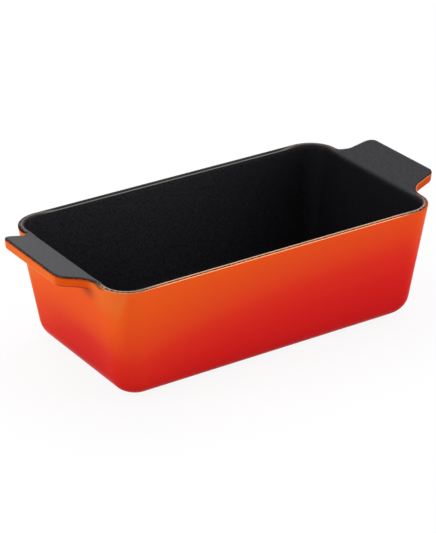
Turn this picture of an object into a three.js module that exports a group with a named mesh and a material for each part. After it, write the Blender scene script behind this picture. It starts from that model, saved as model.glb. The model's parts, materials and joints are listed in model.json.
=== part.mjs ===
// Enamelled cast iron bread pan: one grey iron casting with two sloped tab handles, and the glass
// enamel coats that are fused onto it. Each coat is its own closed solid and shares its faces with
// the layer that it lies on.
// Millimetres, +Z up. The origin is the middle of the underside, and X runs from handle to handle.

import * as THREE from 'three';
import { mergeVertices } from 'three/addons/utils/BufferGeometryUtils.js';

// The opening at the rim, between the finished inner walls, and the height of the finished rim.
const openingLength = 228.6;
const openingWidth = 126.6;
const rimHeight = 78.2;

// Thicknesses of the iron and of its coats.
const ironWall = 3.6;
const ironFloor = 3.8;
const groundCoat = 0.15;
const colourCoat = 0.35;
const blackCoat = 0.3;

// The walls lean outwards by this draft, so that the pan leaves its sand mould.
const draftDegrees = 8.25;

// Radii of the bare casting.
const rimCornerRadius = 19.5;
const baseCornerRadius = 12.8;
const outerBottomRadius = 14.3;
const innerBottomRadius = 10.7;
const rimEdgeRadius = 1.1;

// The tab handles: a sloped plate at each end that swells out of the rim through a rounded neck.
const handleReach = 20.5;
const handleThickness = 6.4;
const handleSlopeDegrees = 15.75;
const handleSideDegrees = 9.1;
const handleEndDraftDegrees = 1.7;
const handleCornerRadius = 6.2;
const neckRadius = 6.5;
const neckToCorner = 4.8;
const coveRadius = 5;
const lowerEdgeRadius = 1.3;

// How finely the round stretches are divided.
const cornerSteps = 5;
const neckSteps = 4;
const handleCornerSteps = 4;
const filletSteps = 4;
const coveSteps = 3;
const edgePoints = 4;
const halvings = 40;

// Shares that shape the blends.
const rootSpreadShare = 0.28;
const roundShare = 0.4;
const coveEndShare = 0.85;
const coatEdgeShare = 0.5;
const neckSlopeShares = [0.35, 0.75, 0.95];
const cornerCoverShares = [0.3, 0.1];
const neckCoverShare = 0.7;
const landStartShare = 0.45;
const coverGapShare = 0.25;

const tangentOf = (degrees) => Math.tan(THREE.MathUtils.degToRad(degrees));
const mix = THREE.MathUtils.lerp;
const outsideCoats = groundCoat + colourCoat;

// Sizes of the bare casting, worked out from the finished opening.
const halfLength = openingLength / 2 + blackCoat + ironWall;
const halfWidth = openingWidth / 2 + blackCoat + ironWall;
const ironTop = rimHeight - groundCoat;
const ironBottom = outsideCoats;
const innerFloor = ironBottom + ironFloor;
const draft = tangentOf(draftDegrees);
const topSlope = tangentOf(handleSlopeDegrees);
const fullInset = (rimHeight - ironBottom) * draft;
const cornerShrink = (rimCornerRadius - baseCornerRadius) / fullInset;
const straightX = halfLength - rimCornerRadius;
const straightY = halfWidth - rimCornerRadius;
const neckStart = straightY - neckToCorner;

// Places on the pan's rounded rectangle in plan, at a distance inside the casting's rim line: on an end
// wall's straight part, where along runs from -1 to 1, and on a corner. The corners' radius shrinks more
// slowly than the inset grows, so their centres are pulled in.
function onEndWall(signX, along, inset) {
  const pull = inset * (1 - cornerShrink);
  return new THREE.Vector2(signX * (halfLength - inset), along * (straightY - pull));
}

function onCorner(signX, signY, angle, inset) {
  const pull = inset * (1 - cornerShrink);
  const radius = rimCornerRadius - inset * cornerShrink;
  const centre = new THREE.Vector2(signX * (straightX - pull), signY * (straightY - pull));
  return centre.add(new THREE.Vector2(Math.cos(angle), Math.sin(angle)).multiplyScalar(radius));
}

// The upper edge of a handle in plan, on the +X, +Y quarter: its neck, its side and its rounded corner.
// endShare tells how far a point has turned from the handle's side to its end.
function handleOutline() {
  const sideAngle = THREE.MathUtils.degToRad(handleSideDegrees);
  const neckCentre = new THREE.Vector2(halfLength + neckRadius, neckStart);
  const points = [];
  for (let step = 1; step <= neckSteps; step += 1) {
    const turn = (Math.PI / 2 - sideAngle) * (step / neckSteps);
    const spoke = new THREE.Vector2(-Math.cos(turn), -Math.sin(turn));
    points.push({ edge: neckCentre.clone().add(spoke.multiplyScalar(neckRadius)), endShare: 0 });
  }
  const sideNormal = new THREE.Vector2(Math.sin(sideAngle), Math.cos(sideAngle));
  const sideLine = points[points.length - 1].edge.dot(sideNormal);
  const outerX = halfLength + handleReach;
  const centreX = outerX - handleCornerRadius;
  const centreY = (sideLine - handleCornerRadius - sideNormal.x * centreX) / sideNormal.y;
  for (let step = 0; step <= handleCornerSteps; step += 1) {
    const endShare = step / handleCornerSteps;
    const turn = (Math.PI / 2 - sideAngle) * (1 - endShare);
    const spoke = new THREE.Vector2(Math.cos(turn), Math.sin(turn)).multiplyScalar(handleCornerRadius);
    points.push({ edge: spoke.add(new THREE.Vector2(centreX, centreY)), endShare });
  }
  return points;
}

// A station is one upright section of the pan. It knows where a given inset lies in plan, how far the
// handle reaches there and in which direction, how much of the handle's slope its top takes, how much
// of the rim the black enamel covers, and the draft of its outer face.
function plainStation(place, slopeShare, cover) {
  return { place, reach: 0, slopeShare, cover, faceDraft: draft };
}

function cornerStation(signX, signY, angle, cover) {
  return plainStation((inset) => onCorner(signX, signY, angle, inset), 0, cover);
}

function handleStation(signX, signY, { edge, endShare }, slopeShare) {
  const reachShare = (edge.x - halfLength) / handleReach;
  const rootY = edge.y * (1 - rootSpreadShare * reachShare);
  const place = (inset) => onEndWall(signX, (signY * rootY) / straightY, inset);
  const tip = new THREE.Vector2(signX * edge.x, signY * edge.y);
  const heading = tip.sub(place(0));
  const reach = heading.length();
  const faceDraft = mix(draft, tangentOf(handleEndDraftDegrees), endShare);
  return { place, reach, heading: heading.normalize(), slopeShare, cover: 1, faceDraft };
}

// Half of one handle's stations, from the start of the neck to the handle's corner.
function halfHandle(signX, signY) {
  const neckAlong = (signY * neckStart) / straightY;
  const [startSlope, ...slopes] = neckSlopeShares;
  return [
    plainStation((inset) => onEndWall(signX, neckAlong, inset), startSlope, neckCoverShare),
    ...handleOutline().map((point, index) => handleStation(signX, signY, point, slopes[index] ?? 1)),
  ];
}

function handle(signX) {
  return [...halfHandle(signX, -signX), ...halfHandle(signX, signX).reverse()];
}

function corner(signX, signY, startAngle) {
  const list = [];
  for (let step = 0; step <= cornerSteps; step += 1) {
    const angle = startAngle + (Math.PI / 2) * (step / cornerSteps);
    const fromEndWall = signX * signY > 0 ? step : cornerSteps - step;
    list.push(cornerStation(signX, signY, angle, cornerCoverShares[fromEndWall] ?? 0));
  }
  return list;
}

// Once around the pan, anticlockwise from above.
const stations = [
  ...handle(1),
  ...corner(1, 1, 0),
  ...corner(-1, 1, Math.PI / 2),
  ...handle(-1),
  ...corner(-1, -1, Math.PI),
  ...corner(1, -1, -Math.PI / 2),
];

// One bottom fillet in section, as pairs of inset and height, from the flat to the wall.
function fillet(wallInsetAtTop, flat, radius) {
  const lean = Math.atan(draft);
  const wallAtFlat = wallInsetAtTop + (ironTop - flat) * draft;
  const centreInset = wallAtFlat + radius * (1 / Math.cos(lean) - draft);
  const points = [];
  for (let step = 0; step <= filletSteps; step += 1) {
    const turn = (Math.PI / 2 - lean) * (step / filletSteps);
    const inset = centreInset - radius * Math.sin(turn);
    points.push(new THREE.Vector2(inset, flat + radius * (1 - Math.cos(turn))));
  }
  return points;
}

// The middle of a small rounding between two points, with the sharp corner that it takes away.
function rounded(before, corner, after) {
  return before.clone().add(after).add(corner.clone().multiplyScalar(2)).divideScalar(4);
}

// The lower side of a handle in section, in pairs of outward distance and height: a cove that leaves
// the wall, the flat underside, and the rounded lower edge of the handle's face.
function underside(station, upperEdge) {
  const lean = Math.atan(draft);
  const slope = station.slopeShare * topSlope * Math.abs(station.heading.x);
  const pitch = Math.atan(slope);
  const wallUp = new THREE.Vector2(Math.sin(lean), Math.cos(lean));
  const outward = new THREE.Vector2(Math.cos(pitch), Math.sin(pitch));
  const heightAtRim = ironTop + station.slopeShare * topSlope * ironWall - handleThickness;
  const meetHeight = (heightAtRim - slope * draft * ironTop) / (1 - slope * draft);
  const meet = new THREE.Vector2((meetHeight - ironTop) * draft, meetHeight);
  const opening = Math.PI / 2 + lean + pitch;
  const setback = coveRadius / Math.tan(opening / 2);
  const coveStart = meet.clone().sub(wallUp.clone().multiplyScalar(setback));
  const coveEnd = meet.clone().add(outward.clone().multiplyScalar(setback));
  const wallNormal = new THREE.Vector2(Math.cos(lean), -Math.sin(lean));
  const centre = coveStart.clone().add(wallNormal.multiplyScalar(coveRadius));
  const coveLength = coveRadius * (Math.PI - opening);
  const pointAt = (travel) => {
    if (travel > coveLength) {
      return coveEnd.clone().add(outward.clone().multiplyScalar(travel - coveLength));
    }
    const spoke = coveStart.clone().sub(centre);
    return spoke.rotateAround(new THREE.Vector2(), -travel / coveRadius).add(centre);
  };
  const beyondFace = (travel) => {
    const point = pointAt(travel);
    return point.x > upperEdge.x - (upperEdge.y - point.y) * station.faceDraft;
  };
  let near = 0;
  let far = coveLength + station.reach + setback;
  for (let halving = 0; halving < halvings; halving += 1) {
    const middle = (near + far) / 2;
    if (beyondFace(middle)) {
      far = middle;
    } else {
      near = middle;
    }
  }
  const corner = pointAt(near);
  const faceUp = upperEdge.clone().sub(corner);
  const round = Math.min(lowerEdgeRadius, near * roundShare, faceUp.length() * roundShare);
  const flatEnd = pointAt(near - round);
  const faceStart = corner.clone().add(faceUp.setLength(round));
  const coveTravel = Math.min(coveLength, (near - round) * coveEndShare);
  const points = [];
  for (let step = 0; step <= coveSteps; step += 1) {
    points.push(pointAt(coveTravel * (step / coveSteps)));
  }
  points.push(flatEnd, rounded(flatEnd, corner, faceStart), faceStart);
  return points;
}

// On a plain stretch of the rim as many points as the underside has are spread along the upper wall.
function upperWall() {
  const points = [];
  const lowest = ironTop - handleThickness - coveRadius;
  const count = coveSteps + edgePoints;
  for (let step = 0; step < count; step += 1) {
    const height = mix(lowest, ironTop - rimEdgeRadius, step / count);
    points.push(new THREE.Vector2((height - ironTop) * draft, height));
  }
  return points;
}

// The casting's whole section at a station, as points in space from the underside to the inner floor.
// marks gives the places in that list where the colour ends and the black begins.
const marks = {};

function section(station) {
  const at = (out, height) => new THREE.Vector2(out, height);
  const headingX = station.heading ? Math.abs(station.heading.x) : 1;
  const rise = station.slopeShare * topSlope;
  const topAt = (out) => at(out, ironTop + rise * (ironWall + out * (out > 0 ? headingX : 1)));
  const upperEdge = topAt(station.reach);
  const list = fillet(0, ironBottom, outerBottomRadius).map(({ x, y }) => at(-x, y));
  list.push(...(station.reach > 0 ? underside(station, upperEdge) : upperWall()));
  const faceUp = upperEdge.clone().sub(list[list.length - 1]).setLength(rimEdgeRadius);
  const faceEnd = upperEdge.clone().sub(faceUp);
  const landStart = topAt(station.reach - rimEdgeRadius);
  marks.colourEnd = list.length;
  list.push(faceEnd, rounded(faceEnd, upperEdge, landStart), landStart);
  const innerEdge = at(-ironWall, ironTop);
  const landEnd = topAt(rimEdgeRadius - ironWall);
  const innerWallStart = at(-ironWall - rimEdgeRadius * draft, ironTop - rimEdgeRadius);
  const handleGapShare = (coverGapShare * rimEdgeRadius) / (station.reach + rimEdgeRadius);
  marks.blackStart = list.length;
  list.push(landStart.clone().lerp(landEnd, mix(landStartShare, handleGapShare, station.cover)));
  list.push(landEnd, rounded(landEnd, innerEdge, innerWallStart), innerWallStart);
  list.push(...fillet(ironWall, innerFloor, innerBottomRadius).reverse().map(({ x, y }) => at(-x, y)));
  return list.map(({ x, y }) => {
    const plan = station.place(Math.max(0, -x));
    if (station.heading) {
      plan.addScaledVector(station.heading, Math.max(0, x));
    }
    return new THREE.Vector3(plan.x, plan.y, y);
  });
}

const ironGrid = stations.map(section);
const lastRow = ironGrid[0].length - 1;

// The triangles of one layer's surface between two rows of the grid. Where it reaches the underside or
// the inner floor it is closed by a fan around the middle.
function surface(grid, firstRow, finalRow) {
  const triangles = [];
  grid.forEach((column, index) => {
    const next = grid[(index + 1) % grid.length];
    for (let row = firstRow; row < finalRow; row += 1) {
      triangles.push([column[row], next[row], next[row + 1]]);
      triangles.push([column[row], next[row + 1], column[row + 1]]);
    }
    if (firstRow === 0) {
      triangles.push([new THREE.Vector3(0, 0, column[0].z), next[0], column[0]]);
    }
    if (finalRow === lastRow) {
      triangles.push([new THREE.Vector3(0, 0, column[lastRow].z), column[lastRow], next[lastRow]]);
    }
  });
  return triangles;
}

const turnedOver = (triangles) => triangles.map(([a, b, c]) => [a, c, b]);

// The narrow edge of a coat at one row, from the layer below to the coat's own surface.
function edgeStrip(below, above, row) {
  const triangles = [];
  below.forEach((column, index) => {
    const next = (index + 1) % below.length;
    triangles.push([column[row], below[next][row], above[next][row]]);
    triangles.push([column[row], above[next][row], above[index][row]]);
  });
  return triangles;
}

function solidFrom(triangles) {
  const geometry = new THREE.BufferGeometry();
  geometry.setFromPoints(triangles.flat());
  return mergeVertices(geometry);
}

// Directions square to the casting's surface, in which the coats grow.
function growthDirections(grid) {
  const points = grid.flat();
  const rows = grid[0].length;
  const shared = new THREE.BufferGeometry();
  shared.setFromPoints(points);
  const index = [];
  const number = (column, row) => (column % grid.length) * rows + row;
  grid.forEach((_, column) => {
    for (let row = 0; row < rows - 1; row += 1) {
      index.push(number(column, row), number(column + 1, row), number(column + 1, row + 1));
      index.push(number(column, row), number(column + 1, row + 1), number(column, row + 1));
    }
  });
  shared.setIndex(index);
  shared.computeVertexNormals();
  const normals = shared.getAttribute('normal');
  return grid.map((column, station) => column.map((_, row) => {
    if (row === 0) {
      return new THREE.Vector3(0, 0, -1);
    }
    if (row === rows - 1) {
      return new THREE.Vector3(0, 0, 1);
    }
    return new THREE.Vector3().fromBufferAttribute(normals, number(station, row));
  }));
}

const directions = growthDirections(ironGrid);

function grown(grid, thicknessAtRow) {
  return grid.map((column, station) => column.map((point, row) => {
    return point.clone().addScaledVector(directions[station][row], thicknessAtRow(row));
  }));
}

const groundGrid = grown(ironGrid, () => groundCoat);
const colourAt = (row) => (row < marks.colourEnd ? colourCoat : colourCoat * coatEdgeShare);
const colourGrid = grown(groundGrid, colourAt);
const blackGrid = grown(ironGrid, (row) => (row > marks.blackStart ? blackCoat : groundCoat));

const groundSolid = solidFrom([
  ...surface(groundGrid, 0, marks.blackStart),
  ...turnedOver(surface(ironGrid, 0, marks.blackStart)),
  ...turnedOver(edgeStrip(ironGrid, groundGrid, marks.blackStart)),
]);
const colourSolid = solidFrom([
  ...surface(colourGrid, 0, marks.colourEnd),
  ...turnedOver(surface(groundGrid, 0, marks.colourEnd)),
  ...turnedOver(edgeStrip(groundGrid, colourGrid, marks.colourEnd)),
]);
const blackSolid = solidFrom([
  ...surface(blackGrid, marks.blackStart, lastRow),
  ...turnedOver(surface(ironGrid, marks.blackStart, lastRow)),
  ...edgeStrip(ironGrid, blackGrid, marks.blackStart),
]);

function piece(name, geometry, color, roughness, metalness) {
  const material = new THREE.MeshStandardMaterial({ color, roughness, metalness });
  const mesh = new THREE.Mesh(geometry, material);
  mesh.name = name;
  return mesh;
}

const pan = new THREE.Group();
pan.add(piece('iron_casting', solidFrom(surface(ironGrid, 0, lastRow)), 0x5b5d60, 0.6, 0.8));
pan.add(piece('outer_ground_coat', groundSolid, 0x2b2320, 0.45, 0));
pan.add(piece('flame_colour_enamel', colourSolid, 0xe0451f, 0.18, 0));
pan.add(piece('black_lining_enamel', blackSolid, 0x1b1b1d, 0.5, 0));

export default pan;
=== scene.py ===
# %% [markdown]
# This is an enamelled cast iron bread pan, built up as it is made: one iron casting, and the coats of enamel
# that are fired on it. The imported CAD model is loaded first, as a frame. It holds the place and the outer
# sizes of every piece, and this script gives the looks.

# %% Load the frame
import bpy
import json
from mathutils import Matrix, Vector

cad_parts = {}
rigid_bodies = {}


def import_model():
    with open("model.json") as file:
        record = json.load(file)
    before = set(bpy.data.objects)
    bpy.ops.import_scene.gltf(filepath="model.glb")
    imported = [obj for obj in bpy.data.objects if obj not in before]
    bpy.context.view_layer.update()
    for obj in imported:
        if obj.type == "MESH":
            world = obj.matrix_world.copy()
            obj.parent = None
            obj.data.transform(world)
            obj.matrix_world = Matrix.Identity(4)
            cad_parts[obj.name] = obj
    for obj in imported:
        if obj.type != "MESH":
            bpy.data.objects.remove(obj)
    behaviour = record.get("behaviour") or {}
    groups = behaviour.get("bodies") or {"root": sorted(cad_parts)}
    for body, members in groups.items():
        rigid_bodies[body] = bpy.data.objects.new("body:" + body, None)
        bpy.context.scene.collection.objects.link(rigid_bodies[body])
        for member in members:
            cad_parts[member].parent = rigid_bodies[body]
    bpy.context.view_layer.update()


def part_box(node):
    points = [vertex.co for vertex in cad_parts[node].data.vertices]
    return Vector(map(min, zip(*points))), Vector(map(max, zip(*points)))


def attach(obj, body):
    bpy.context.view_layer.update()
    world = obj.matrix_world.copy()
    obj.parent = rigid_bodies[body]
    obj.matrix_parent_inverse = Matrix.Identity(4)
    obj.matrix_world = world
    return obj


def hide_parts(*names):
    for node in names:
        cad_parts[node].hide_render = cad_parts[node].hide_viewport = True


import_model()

# %% Tools and units
import json
import math
from types import SimpleNamespace

import bmesh
import bpy
from mathutils import Matrix, Vector

MM = 0.001
NEAR = 0.01 * MM
print("a place is met when it is this near, in mm:", NEAR / MM)

# %% [markdown]
# The casting is a drafted loaf pan with a flat handle at each end that slopes up and out. The sand mould
# opens upwards, so every wall leans out by the draft, the handles' end faces by less, and every edge is
# rounded. The corners are rounder at the rim than at the base. The frame gives the outer sizes, and the rest
# are the real object's own. Most are the same as in the CAD model, but the handle's slope, its necks and the
# inner edge beside it follow the photograph more closely here. The iron's outline is drawn in a little, so
# that the coats on it stay inside the CAD model's box.

# %% Sizes of the casting
casting_low, casting_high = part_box("iron_casting")
WALL, FLOOR = 3.6 * MM, 3.8 * MM
RIM_TOP = 78.0 * MM
IRON_BOTTOM = casting_low.z
DRAFT = math.tan(math.radians(8.25))
END_DRAFT = math.tan(math.radians(1.7))
RIM_CORNER, BASE_CORNER = 19.5 * MM, 12.8 * MM
OUTER_BOTTOM, INNER_BOTTOM = 14.3 * MM, 10.7 * MM
EDGE_ROUND, LOWER_EDGE_ROUND, GRIP_ROUND = 1.1 * MM, 1.3 * MM, 1.7 * MM
HANDLE_REACH, HANDLE_THICKNESS, HANDLE_CORNER = 20.5 * MM, 6.4 * MM, 6.2 * MM
HANDLE_SLOPE, HANDLE_SIDE = math.radians(15.48), math.radians(9.1)
NECK_ROUND, NECK_START = 8.4 * MM, 44.5 * MM
COVE = 5.0 * MM
DRAWN_IN = 0.18 * MM

HALF_LENGTH = casting_high.x + EDGE_ROUND * END_DRAFT - HANDLE_REACH - DRAWN_IN
HALF_WIDTH = casting_high.y + EDGE_ROUND * DRAFT - DRAWN_IN
FULL_INSET = (RIM_TOP - IRON_BOTTOM) * DRAFT
CORNER_SHRINK = (RIM_CORNER - BASE_CORNER) / FULL_INSET
STRAIGHT_Y = HALF_WIDTH - RIM_CORNER
HINGE_X = HALF_LENGTH - WALL
print("half length, half width and base in mm:", HALF_LENGTH / MM, HALF_WIDTH / MM, IRON_BOTTOM / MM)

# %% [markdown]
# Operators act on whatever is selected, so two helpers come first. One leaves edit mode and clears the
# selection, which the loaded frame leaves full. The other selects points or edges by their place, as one
# would with the mouse.


# %% Starting clean and picking by place
def begin():
    """Leaves edit mode with nothing selected."""
    if bpy.context.object and bpy.context.object.mode != "OBJECT":
        bpy.ops.object.mode_set(mode="OBJECT")
    bpy.ops.object.select_all(action="DESELECT")


def pick(test, kind="VERT"):
    """In edit mode, selects each point, or each edge by its middle, whose place passes the test."""
    bpy.ops.mesh.select_mode(type=kind)
    bpy.ops.mesh.select_all(action="DESELECT")
    mesh = bmesh.from_edit_mesh(bpy.context.edit_object.data)
    if kind == "VERT":
        places = [(vertex, vertex.co) for vertex in mesh.verts]
    else:
        places = [(edge, (edge.verts[0].co + edge.verts[1].co) / 2) for edge in mesh.edges]
    for item, place in places:
        item.select_set(bool(test(place)))
    mesh.select_flush_mode()


begin()
print("objects still selected:", len(bpy.context.selected_objects))

# %% [markdown]
# A pattern maker thinks of such a pan as a stack of level outlines, one for each height. A box could be
# extruded and bevelled, but the bevels of the rim, the necks of the handles and the corners would run into
# each other. So the skin is lofted: a quarter of the outline is drawn at each height, always with the same
# points in the same order, and then each line is bridged to the next. First come the measures that all the
# lines share: the lean of the wall, and the handle's sides, which draw together towards its tip.

# %% Measures of the lines
TURN = math.pi / 2 - HANDLE_SIDE
TANGENT_SHARE = math.tan(TURN / 2)
NECK_SIDE_Y = NECK_START - NECK_ROUND * TANGENT_SHARE
LIFT_SHIFT = WALL * HANDLE_SLOPE * DRAFT
TIP = HINGE_X + (HANDLE_REACH + WALL) / math.cos(HANDLE_SLOPE) - LIFT_SHIFT
print("the handle's tip, drawn level, in mm:", TIP / MM)


def wall_inset(height):
    """How far the outer wall lies inside the rim's line at a height."""
    return (RIM_TOP - height) * DRAFT


def handle_side(x):
    """Half the handle's width at x, between sharp corners."""
    return NECK_SIDE_Y - (x - HALF_LENGTH) * math.tan(HANDLE_SIDE)


# %% [markdown]
# A line starts as a plane. A cut marks the handle's side, an extrude draws the handle out, and vertex bevels
# round the three corners. A bevel starts at its radius times the tangent of half the turn. Towards the base
# the straight part of the end wall gets shorter, so the handle's points are squeezed with it.

# %% One level line
CORNER_STEPS, NECK_STEPS, HANDLE_CORNER_STEPS = 20, 12, 12
STRAIGHT_CUTS = 2


def level_line(height, inset, back=0.0, end_back=0.0, neck_extra=0.0, tight=0.0, handle=True):
    """A quarter of the pan's outline at one height, as an open line of edges.

    The wall lies inside the rim's line by inset, the handle's sides lie in by back and its tip by end_back.
    The neck's round is larger by neck_extra and the pan's corner smaller by tight. Without a handle, its
    points are folded on to the wall, so that every line has the same number of points.
    """
    pull = inset * (1 - CORNER_SHRINK)
    squeeze = (STRAIGHT_Y - pull) / STRAIGHT_Y
    half_x, half_y = HALF_LENGTH - inset, HALF_WIDTH - inset
    tip = TIP - end_back
    side = back / math.cos(HANDLE_SIDE)
    neck_y = (handle_side(half_x) - side) * squeeze
    tip_y = (handle_side(tip) - side) * squeeze
    begin()
    bpy.ops.mesh.primitive_plane_add(size=1, location=(0.5, 0.5, height))
    bpy.ops.object.transform_apply(location=True)
    bpy.ops.object.mode_set(mode="EDIT")
    bpy.ops.mesh.select_all(action="SELECT")
    bpy.ops.transform.resize(value=(half_x, half_y, 1), center_override=(0, 0, height))
    bpy.ops.mesh.bisect(plane_co=(0, neck_y, 0), plane_no=(0, 1, 0))
    pick(lambda place: place.x > half_x - NEAR and place.y < neck_y, "EDGE")
    bpy.ops.mesh.extrude_edges_move(TRANSFORM_OT_translate={"value": (tip - half_x, 0, 0)})
    bpy.ops.transform.resize(value=(1, tip_y / neck_y, 1), center_override=(0, 0, height))
    bpy.ops.mesh.select_all(action="SELECT")
    bpy.ops.mesh.dissolve_faces()
    radius = RIM_CORNER - inset * CORNER_SHRINK - tight
    neck = (NECK_ROUND + back + neck_extra) * TANGENT_SHARE * squeeze
    handle_corner = (HANDLE_CORNER - back) * TANGENT_SHARE * squeeze
    for x, y, offset, steps in (
        (half_x, half_y, radius, CORNER_STEPS),
        (half_x, neck_y, neck, NECK_STEPS),
        (tip, tip_y, handle_corner, HANDLE_CORNER_STEPS),
    ):
        pick(lambda place: abs(place.x - x) < NEAR and abs(place.y - y) < NEAR)
        bpy.ops.mesh.bevel(offset=offset, offset_type="OFFSET", segments=steps, affect="VERTICES")
    pick(lambda place: abs(place.x - half_x) < NEAR and neck_y + neck < place.y < half_y - radius, "EDGE")
    bpy.ops.mesh.subdivide(number_cuts=STRAIGHT_CUTS)
    pick(lambda place: min(place.x, place.y) < NEAR and place.x < half_x + NEAR and place.y < half_y - NEAR)
    bpy.ops.mesh.delete(type="VERT")
    if not handle:
        pick(lambda place: place.x > half_x)
        bpy.ops.transform.resize(value=(0, 1, 1), center_override=(half_x, 0, height))


print("edges in the rounds of a quarter line:", CORNER_STEPS + NECK_STEPS + HANDLE_CORNER_STEPS)

# %% [markdown]
# The handle isn't level. It slopes up from the inner edge of the rim, and the slope fades out at its necks.
# A line is turned up in a dozen small turns about that inner edge, each one reaching a little less far along
# the rim than the last, so that the slope fades as a cosine. That is what proportional editing does by hand.
# The wall below leans out, so what is lifted also moves out a little.

# %% Tilting the handle
TILT_TURNS = 12
TILT_FROM_Y, TILT_FULL_Y = 47.7 * MM, 37.5 * MM


def tilt(height):
    """Turns the handle of a line up about the rim's inner edge, in turns that fade out at the neck."""
    for turn in range(TILT_TURNS):
        fade = math.acos(2 * (turn + 0.5) / TILT_TURNS - 1) / math.pi
        limit = TILT_FULL_Y + (TILT_FROM_Y - TILT_FULL_Y) * fade
        pick(lambda place: place.x > HINGE_X and place.y < limit)
        bpy.ops.transform.rotate(
            value=HANDLE_SLOPE / TILT_TURNS, orient_axis="Y", center_override=(HINGE_X, 0, height))
        bpy.ops.transform.translate(value=(LIFT_SHIFT / TILT_TURNS, 0, 0))


def tilt_share(y):
    """How much of the handle's slope a place at y takes."""
    fade = min(1.0, max(0.0, (y - TILT_FULL_Y) / (TILT_FROM_Y - TILT_FULL_Y)))
    return (1 + math.cos(math.pi * fade)) / 2


print("the handle turns up by, in degrees:", math.degrees(HANDLE_SLOPE))

# %% [markdown]
# Each finished line is kept as an object with a name. Its points also go into a vertex group of that name, so
# that they can be found again when all the lines are one object.

# %% Keeping a line
lines = []


def keep_line(name):
    """Names the finished line and puts its points in a vertex group of the same name."""
    bpy.ops.mesh.select_all(action="SELECT")
    bpy.ops.object.vertex_group_add()
    bpy.context.object.vertex_groups.active.name = name
    bpy.ops.object.vertex_group_assign()
    bpy.ops.object.mode_set(mode="OBJECT")
    bpy.context.object.name = name
    lines.append(name)


print("lines kept so far:", len(lines))

# %% [markdown]
# The bottom edge of the pan is a large rounding, because iron fills a soft corner better than a sharp one.
# A few level lines follow the arc from the flat base to the leaning wall. One more line beyond each end of
# the arc holds the flat base and the wall flat when the skin is shaded smooth.

# %% The bottom edge
FILLET_STEPS = 8
LEAN = math.atan(DRAFT)
HOLD = 2.0 * MM


def fillet(wall_start, flat, radius):
    """Insets and heights of a bottom rounding, from the flat to the wall, with a holding line at each end."""
    centre_inset = wall_start + wall_inset(flat) + radius * (1 / math.cos(LEAN) - DRAFT)
    rows = []
    for step in range(FILLET_STEPS + 1):
        turn = (math.pi / 2 - LEAN) * step / FILLET_STEPS
        rows.append((centre_inset - radius * math.sin(turn), flat + radius * (1 - math.cos(turn))))
    first, last = rows[0], rows[-1]
    return [(first[0] + HOLD, first[1]), *rows, (last[0] - HOLD * DRAFT, last[1] + HOLD)]


for step, (inset, height) in enumerate(fillet(0, IRON_BOTTOM, OUTER_BOTTOM)):
    level_line(height, inset, handle=False)
    keep_line(f"outer bottom {step}")
print("level lines of the bottom edge:", len(lines))

# %% [markdown]
# A cove fills the corner where the handle's underside meets the end wall. A sharp inner corner there would
# crack as the iron cools. Its arc touches the leaning wall and the sloping underside, so its middle and its
# ends follow from the angle between the two. The points of the arc come first, in the pan's middle plane.

# %% The cove's arc
COVE_STEPS = 6
COVE_HOLD = 1.0 * MM
slope = math.tan(HANDLE_SLOPE)
plain_top = RIM_TOP - HANDLE_THICKNESS
meet_z = (plain_top + slope * (WALL - DRAFT * RIM_TOP)) / (1 - slope * DRAFT)
opening = math.pi / 2 + LEAN + HANDLE_SLOPE
setback = COVE / math.tan(opening / 2)
up_wall = Vector((math.sin(LEAN), 0, math.cos(LEAN)))
along_underside = Vector((math.cos(HANDLE_SLOPE), 0, math.sin(HANDLE_SLOPE)))
meet = Vector((HALF_LENGTH - wall_inset(meet_z), 0, meet_z))
cove_centre = meet - up_wall * setback + Vector((COVE * math.cos(LEAN), 0, -COVE * math.sin(LEAN)))
cove = [meet - up_wall * (setback + COVE_HOLD)]
for step in range(COVE_STEPS + 1):
    turn = (math.pi - opening) * step / COVE_STEPS
    cove.append(cove_centre + Vector((-math.cos(LEAN + turn), 0, math.sin(LEAN + turn))) * COVE)
cove.append(meet + along_underside * (setback + COVE_HOLD))
print("the wall and the underside meet at, in mm:", meet / MM)

# %% [markdown]
# Each of the cove's lines starts as a plain wall line with its handle's points folded on to the wall. Those
# are moved out to a point of the arc together. The neck's points follow one by one, by the share that the
# handle has grown out of the wall there, so the cove runs out softly beside the handle. Counted from the
# middle plane, they come after the middle point and the points of the handle's corner.

# %% The cove's lines
EDGE_HOLD = 0.6 * MM
COVE_SPREAD = 1.2
POINTS_BEFORE_NECK = HANDLE_CORNER_STEPS + 2


def neck_points():
    """The edited line's neck points, as places, from the wall to the handle's side."""
    mesh = bmesh.from_edit_mesh(bpy.context.edit_object.data)
    end = [vertex.co.copy() for vertex in mesh.verts if vertex.co.x > HINGE_X - FULL_INSET]
    end.sort(key=lambda place: place.y)
    return list(reversed(end[POINTS_BEFORE_NECK:POINTS_BEFORE_NECK + NECK_STEPS + 1]))


def grown(column):
    """The handle's reach out of the wall at a neck point, as a share of the neck's round."""
    return 1 - math.cos(TURN * column / NECK_STEPS)


lower_back = wall_inset(plain_top) + LOWER_EDGE_ROUND + EDGE_HOLD
for step, target in enumerate(cove):
    height = cove[0].z + (plain_top - cove[0].z) * step / (len(cove) + 1)
    inset = wall_inset(height)
    level_line(height, inset, back=lower_back, handle=False)
    move = target - Vector((HALF_LENGTH - inset, 0, height))
    necks = neck_points()
    side_y = necks[-1].y + NEAR
    pick(lambda place: place.x > HINGE_X - FULL_INSET and place.y < side_y)
    bpy.ops.transform.translate(value=move)
    for column, point in enumerate(necks[:-1]):
        out = min(1.0, COVE_SPREAD * grown(column))
        up = math.sqrt(out)
        drop = (1 - tilt_share(point.y)) * (meet_z - plain_top)
        pick(lambda place: (place - point).length < NEAR)
        bpy.ops.transform.translate(value=(move.x * out, 0, (move.z - drop) * up))
    keep_line(f"cove {step}")
print("level lines of the cove:", len(cove))

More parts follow.
